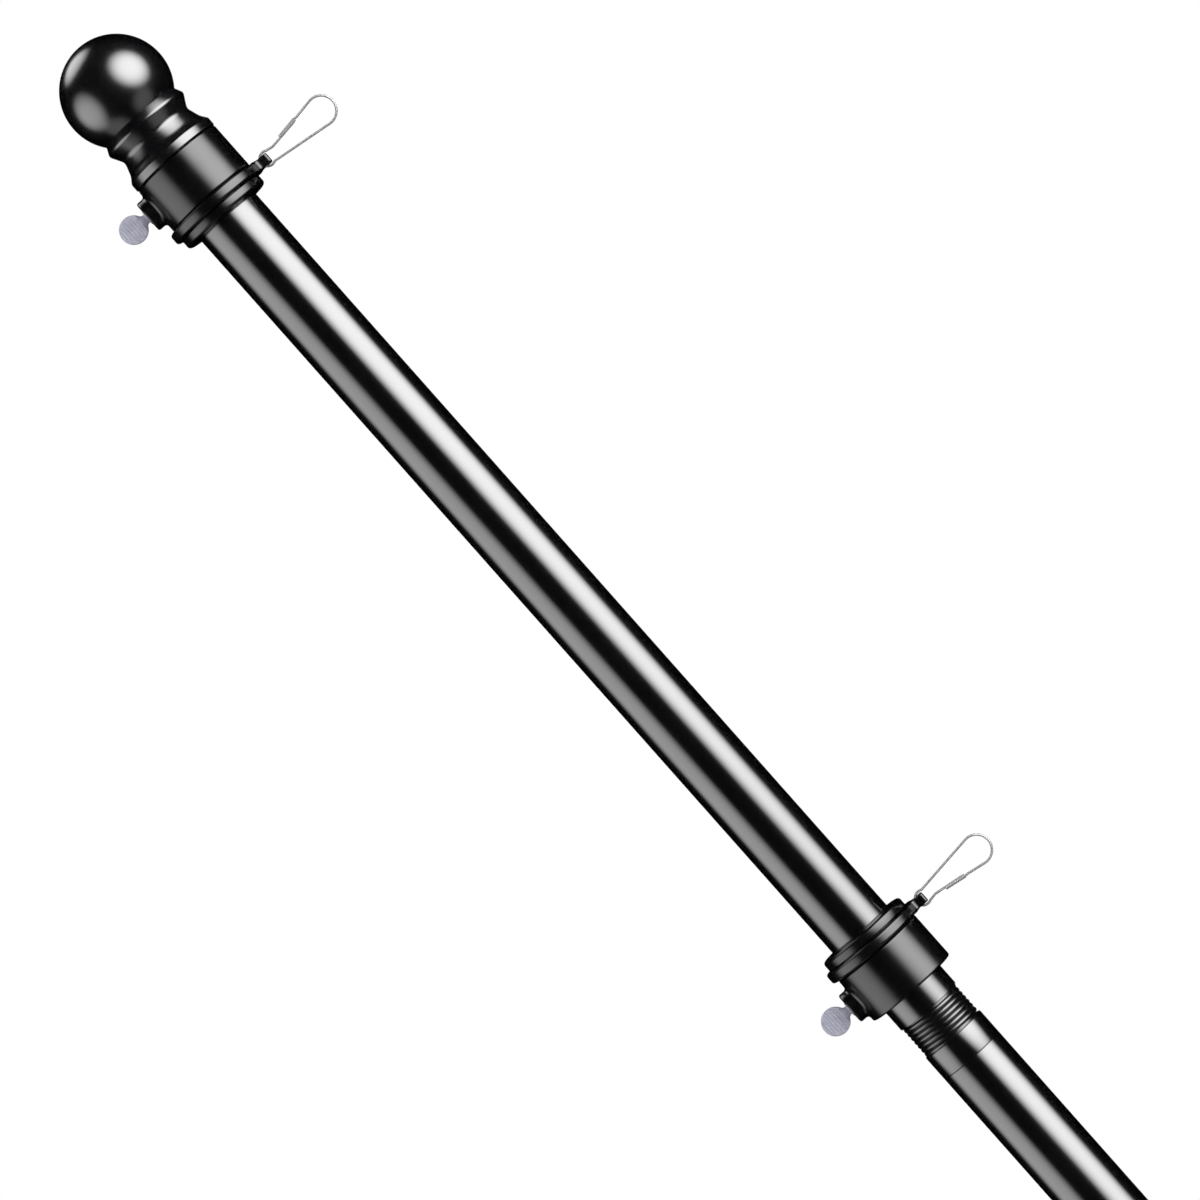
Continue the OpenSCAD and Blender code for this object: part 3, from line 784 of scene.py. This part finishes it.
sweeping = wire_tree()
tilt = math.degrees(lean_out)
inner_end = [along_leg(latch_end - 0.4, -0.35), along_leg(latch_start - 0.6, -0.1), along_leg(1.5)]
outer_end = [along_leg(latch_end + 1.6), along_leg(latch_end, 0.25), along_leg(latch_start, 0.45)]
clip_line = (
    inner_end + arc((0, 0), curl_radius, -60, -300, 26)
    + arc((far_place, 0), far_radius, 90 + tilt, -90 - tilt, 30) + outer_end)
line = polyline("clip_line", clip_line)
wire = grown("wire", sweeping, {"Line": line, "Thick": wire_thick, "Wide": wire_wide, "Finish": spring})
bpy.data.objects.remove(line)
line = polyline("latch_line", [along_leg(latch_start - 0.3, 0.2), along_leg(latch_end + 0.3, 0.1)])
latch = grown("latch", sweeping, {"Line": line, "Thick": latch_thick, "Wide": latch_wide, "Finish": spring})
bpy.data.objects.remove(line)
clip_mesh = joined("clip", [wire, latch])
for which in ("upper", "lower"):
    place = (ring_places[which] @ Matrix.Translation((0, pivot_place, arm_height))
             @ Matrix.Rotation(math.pi / 2, 4, "Z") @ Matrix.Rotation(math.pi / 2, 4, "X"))
    piece = set_down(f"{which}_snap_clip", clip_mesh, place, spring, crisp=50)
    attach(piece, f"{which}_snap_clip")
    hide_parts(f"{which}_clip")


# ---- Foot plug ----
# A plain plastic plug closes the lowest tube and rests on the floor of the socket.

# Moulded polyethylene: black, soft and dull.
plug_finish, tree = blank_material("dull_black_polyethylene")
place = add(tree, "ShaderNodeTexCoord")
grain = add(tree, "ShaderNodeTexNoise", {"Vector": place.outputs["Object"], "Scale": 1500.0, "Detail": 2.0})
bump = add(tree, "ShaderNodeBump", {"Height": grain.outputs[0], "Strength": 0.2, "Distance": 0.00003})
shader = add(tree, "ShaderNodeBsdfPrincipled", {
    "Base Color": linear("#121213"), "Roughness": 0.5, "IOR": 1.5, "Normal": bump.outputs[0]})
add(tree, "ShaderNodeOutputMaterial", {"Surface": shader.outputs[0]})

plug_foot, plug_head = reach("foot_plug", pole_radius)
plug_head += pole_radius - tube_bore
lip = reach("tube_1", pole_radius)[0]
outline = rounded([
    (0, plug_foot, 0), (pole_radius, plug_foot, 0.7), (pole_radius, lip, 0.2), (spigot_radius, lip, 0),
    (spigot_radius, plug_head, 1.2), (0, plug_head, 0)])
piece = set_down("end_plug", turned("end_plug", outline, 96), lean, plug_finish)
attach(piece, "mast")
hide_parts("foot_plug")


# ---- Wall bracket ----
# One casting: a wall plate with a crowned top, a flat-sided neck flaring into it, and a head with two
# sockets in one slanted face. A third socket runs upright through the neck. All its edges are rounded.

def outline_distance(corners, u, v):
    """How far points are from a closed outline in their plane, negative inside it."""
    nearest, inside = np.inf, False
    for (from_u, from_v), (to_u, to_v) in zip(corners, corners[1:] + corners[:1]):
        edge_u, edge_v = to_u - from_u, to_v - from_v
        share = ((u - from_u) * edge_u + (v - from_v) * edge_v) / (edge_u ** 2 + edge_v ** 2)
        share = np.clip(share, 0, 1)
        nearest = np.minimum(nearest, np.hypot(u - from_u - edge_u * share, v - from_v - edge_v * share))
        if edge_v:
            beside = (u - from_u) < edge_u * (v - from_v) / edge_v
            inside = inside ^ (((from_v > v) != (to_v > v)) & beside)
    return np.where(inside, -nearest, nearest)


socket_radius = 13.1
cup_radius = 16.5
neck_half = 16.2
boss_reach = 19.5
hub_out = -hub.y / MM
hub_up = hub.z / MM
diagonal = math.sqrt(0.5)
face_tilt = math.radians(31.5)
face_normal = (math.cos(face_tilt), math.sin(face_tilt))
face_distance = 51.8
slanted_start, level_start = 35.27, 42.75
slanted_screw, level_screw = 45.27, 52.75
plate_front = 5
plate_fall = 0.02
neck_side = [
    (-27, 20.5), (-24.5, 20), (-15, 15.5), (-2, 14.5), (6, 17.5), (12, 24), (16, 34), (30, 40), (50, 20),
    (52, -5), (44, -11.5), (35, -8.5), (28, -7.6), (22, -8.5), (10, -16.5), (-24.5, -38), (-27, -39)]
head_side = [(44.5 * diagonal, 44.5 * diagonal), (75 * diagonal, 75 * diagonal), (85, 0), (48, 0)]
window = [(30, 15), (36, 7), (23.5, 7.5)]
plate_side = [(-30, 42), (5.48, 44.44), (19.5, 39.4), (28, 33.5), (24.5, 5), (24.5, -31), (-30, -31)]
top_screw, low_screw = (23.3, 33), (15, -34.5)


def plate_shape(x, out, up):
    """The wall plate: a peak, two ears, scooped between them, straight flanks and a round foot."""
    aside = np.abs(x)
    edge = np.minimum(outline_distance(plate_side, aside, up), np.hypot(x, up - 42) - 6)
    edge = np.minimum(edge, np.hypot(aside - 21.5, up - 33.5) - 6.5)
    edge = np.minimum(edge, np.maximum(np.hypot(x, up + 22) - 26, aside - 24.5))
    edge = keep_in(edge, 10 - np.hypot(aside - 14.62, up - 48.5), 0.4)
    front = plate_front - hub_out - plate_fall * aside
    return rod(edge, out, 0, -hub_out - 4, front, 1.8)


def casting_shape(x, y, z):
    """The whole casting, measured from the middle of the upright socket."""
    out = -y
    slanted_along, slanted_off = (out + z) * diagonal, np.hypot(x, (out - z) * diagonal)
    neck = rod(outline_distance(neck_side, out, z), x, 0, -neck_half, neck_half, 8.5)
    head = np.hypot(np.maximum(outline_distance(head_side, out, z), 0), x) - cup_radius
    plate = plate_shape(x, out, z + hub_up)
    whole = blend_in(blend_in(neck, head, 7), plate, 5)
    whole = keep_in(whole, out * face_normal[0] + z * face_normal[1] - face_distance, 1.1)
    for boss_out, boss_up in ((slanted_screw * diagonal,) * 2, (level_screw, 0), (0, 0)):
        off_screw = np.hypot(out - boss_out, z - boss_up)
        whole = blend_in(whole, rod(off_screw, x, 6, 4, boss_reach, 0.9), 1.6)
        whole = keep_in(whole, 3.15 - np.hypot(off_screw, np.minimum(x, 0)), 0.4)
    for bore in (np.maximum(slanted_off - socket_radius, slanted_start - slanted_along),
                 np.maximum(np.hypot(x, z) - socket_radius, level_start - out),
                 np.hypot(x, y) - socket_radius,
                 outline_distance(window, out, z) - 1.5 - 0.05 * np.abs(x)):
        whole = keep_in(whole, -bore, 0.9)
    for aside, up in (top_screw, low_screw):
        whole = keep_in(whole, 2.3 - np.hypot(np.abs(x) - aside, z + hub_up - up), 0.3)
    return keep_in(whole, -hub_out - out, 0.9)


# Powder coat on a casting: satin black, with orange peel about 1.5 mm across over a slightly uneven skin.
powder, tree = blank_material("satin_black_powder_coat_on_casting")
place = add(tree, "ShaderNodeTexCoord")
peel = add(tree, "ShaderNodeTexNoise", {"Vector": place.outputs["Object"], "Scale": 700.0, "Detail": 2.0})
skin = add(tree, "ShaderNodeTexNoise", {"Vector": place.outputs["Object"], "Scale": 90.0, "Detail": 3.0})
rough = add(tree, "ShaderNodeMapRange", {"Value": skin.outputs[0], "From Min": 0.3, "From Max": 0.7,
                                         "To Min": 0.37, "To Max": 0.45})
fine = add(tree, "ShaderNodeBump", {"Height": peel.outputs[0], "Strength": 0.2, "Distance": 0.00005})
bump = add(tree, "ShaderNodeBump", {"Height": skin.outputs[0], "Strength": 0.15, "Distance": 0.0003,
                                    "Normal": fine.outputs[0]})
shader = add(tree, "ShaderNodeBsdfPrincipled", {
    "Base Color": linear("#1c1d1f"), "Roughness": rough.outputs[0], "IOR": 1.5, "Normal": bump.outputs[0]})
add(tree, "ShaderNodeOutputMaterial", {"Surface": shader.outputs[0]})

casting = mould("casting", casting_shape, (-28.5, -72, -52.5), (28.5, 25, 58), 0.75)
piece = set_down("wall_bracket", casting, Matrix.Translation(hub) @ Matrix.Scale(MM, 4), powder, crisp=70)
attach(piece, "mast")
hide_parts("bracket_casting")


# ---- Wall screws ----
# Four pan-head screws with cross recesses hold the plate to the wall. Each pair is turned to its own angle,
# mirrored from side to side.

def wall_screw_shape(x, y, z):
    """A pan head with a domed top and a cross recess, on a plain shank; z runs outwards from the plate."""
    off_axis = np.hypot(x, y)
    head = rod(off_axis, z, 4.5, -0.5, 2.8, 0.8)
    head = keep_in(head, np.hypot(off_axis, z + 4.4) - 7.2, 0.8)
    whole = np.minimum(head, rod(off_axis, z, 2.2, -4.9, 0.5, 0.2))
    narrow, wide = np.minimum(np.abs(x), np.abs(y)), np.maximum(np.abs(x), np.abs(y))
    slot = np.maximum(narrow - 0.55, wide - 2.5)
    return keep_in(whole, -np.maximum(slot, 1.2 - z + 0.35 * off_axis), 0.35)


# Zinc plate: bright and slightly bluish, with a grain about 1 mm across that scatters its shine.
zinc, tree = blank_material("bright_zinc_plated_steel")
place = add(tree, "ShaderNodeTexCoord")
grain = add(tree, "ShaderNodeTexNoise", {"Vector": place.outputs["Object"], "Scale": 900.0, "Detail": 3.0})
rough = add(tree, "ShaderNodeMapRange", {"Value": grain.outputs[0], "From Min": 0.3, "From Max": 0.7,
                                         "To Min": 0.28, "To Max": 0.42})
bump = add(tree, "ShaderNodeBump", {"Height": grain.outputs[0], "Strength": 0.2, "Distance": 0.00008})
shader = add(tree, "ShaderNodeBsdfPrincipled", {
    "Base Color": linear("#eceef0"), "Metallic": 0.85, "Roughness": rough.outputs[0],
    "Normal": bump.outputs[0]})
add(tree, "ShaderNodeOutputMaterial", {"Surface": shader.outputs[0]})

screw_mesh = mould("wall_screw", wall_screw_shape, (-4.5, -4.5, -5), (4.5, 4.5, 3), 0.22)
for height, (aside, up), turn in (("top", top_screw, 20), ("low", low_screw, 65)):
    for side, sign in (("left", -1), ("right", 1)):
        place = (Matrix.Scale(MM, 4) @ Matrix.Translation((sign * aside, -plate_front, up))
                 @ Matrix.Rotation(math.pi / 2, 4, "X") @ Matrix.Rotation(math.radians(sign * turn), 4, "Z"))
        piece = set_down(f"{height}_{side}_wall_screw", screw_mesh, place, zinc, crisp=60)
        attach(piece, "mast")
        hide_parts(f"wall_screw_{height}_{side}")


# ---- Wing screws ----
# One in each socket: a tapered hub with a dimpled end, two cast wings with a shallow groove, and a plain
# shank that presses on a pole.

def wing_screw_shape(x, y, z):
    """The screw along z, with its wings spread along x."""
    off_axis = np.hypot(x, y)
    hub_body = rod(off_axis + 0.14 * (z - 20), z, 4.8, 20, 26.5, 0.9)
    aside = np.abs(x) - 3
    share = np.clip((aside * 6.3 + (z - 23.2) * 5.3) / (6.3 ** 2 + 5.3 ** 2), 0, 1)
    off_wing = np.hypot(aside - 6.3 * share, z - 23.2 - 5.3 * share)
    wing = rod(off_wing - share, y, 2.15, -1.1, 1.1, 0.6)
    wing = keep_in(wing, -np.maximum(off_wing - 1.3 - 0.5 * share, 0.75 - np.abs(y)), 0.3)
    whole = blend_in(blend_in(hub_body, wing, 1.4), rod(off_axis, z, 3, 13.3, 21, 0.3), 0.5)
    return keep_in(whole, 2.3 - np.hypot(off_axis, z - 27.2), 0.5)


wing_mesh = mould("wing_screw", wing_screw_shape, (-12.6, -5, 13), (12.6, 5, 31.8), 0.25)
for which, joint, turns in (
    ("slanted", "slanted_wing_screw_turn", ((45, "X"), (90, "Y"))),
    ("level", "level_wing_screw_turn", ((90, "X"), (90, "Y"), (-51, "Z"))),
    ("upright", "upright_wing_screw_turn", ((90, "Y"), (65, "Z"))),
):
    place = Matrix.Translation(joints[joint]["pos_m"]) @ Matrix.Scale(MM, 4)
    for angle, axis in turns:
        place = place @ Matrix.Rotation(math.radians(angle), 4, axis)
    piece = set_down(f"{which}_wing_screw", wing_mesh, place, zinc, crisp=60)
    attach(piece, f"{which}_wing_screw")
    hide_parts(f"wing_screw_{which}")
